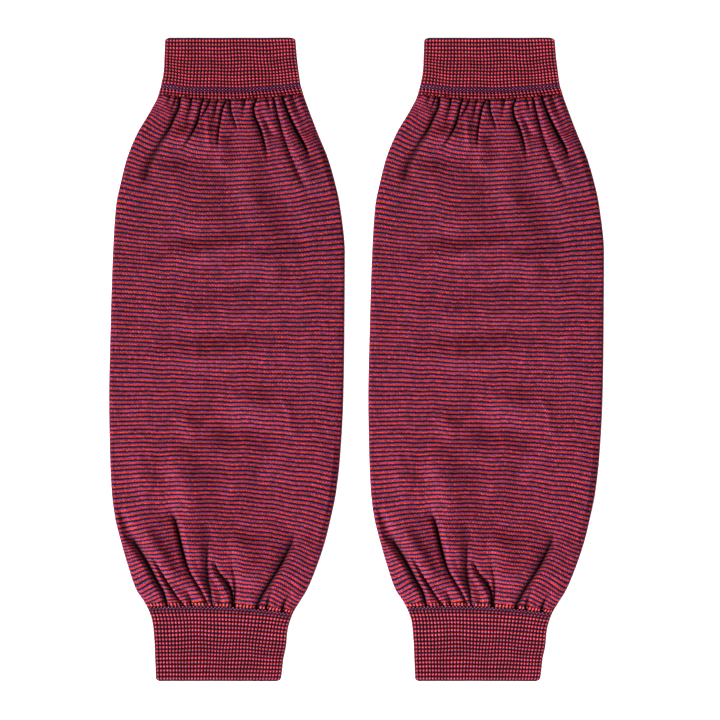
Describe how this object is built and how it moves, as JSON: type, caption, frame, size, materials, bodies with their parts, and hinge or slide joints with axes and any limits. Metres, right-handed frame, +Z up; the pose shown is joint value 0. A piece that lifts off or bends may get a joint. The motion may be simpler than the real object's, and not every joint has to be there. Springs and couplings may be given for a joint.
{
  "type": "pair of knitted compression sleeves",
  "caption": "Two loose knitted arm sleeves lying flat side by side, each a striped tube gathered into a ribbed upper cuff and a ribbed wrist cuff.",
  "frame": {"origin": "centre of the pair's outline, on the surface that both sleeves lie on", "axes": "+X across the pair to the right, +Y along the sleeves from the wrist cuffs to the upper cuffs, +Z up from the surface"},
  "size_m": [0.2964, 0.3858, 0.0071],
  "materials": {
    "striped_knit": "fine crosswise stripes of red, purple and near black in a soft knit",
    "rib_knit": "one by one rib in dotted rows of red and purple over dark yarn"
  },
  "bodies": {
    "root": {"left_body": "striped_knit", "left_upper_cuff": "rib_knit", "left_wrist_cuff": "rib_knit", "right_body": "striped_knit", "right_upper_cuff": "rib_knit", "right_wrist_cuff": "rib_knit"}
  },
  "joints": []
}
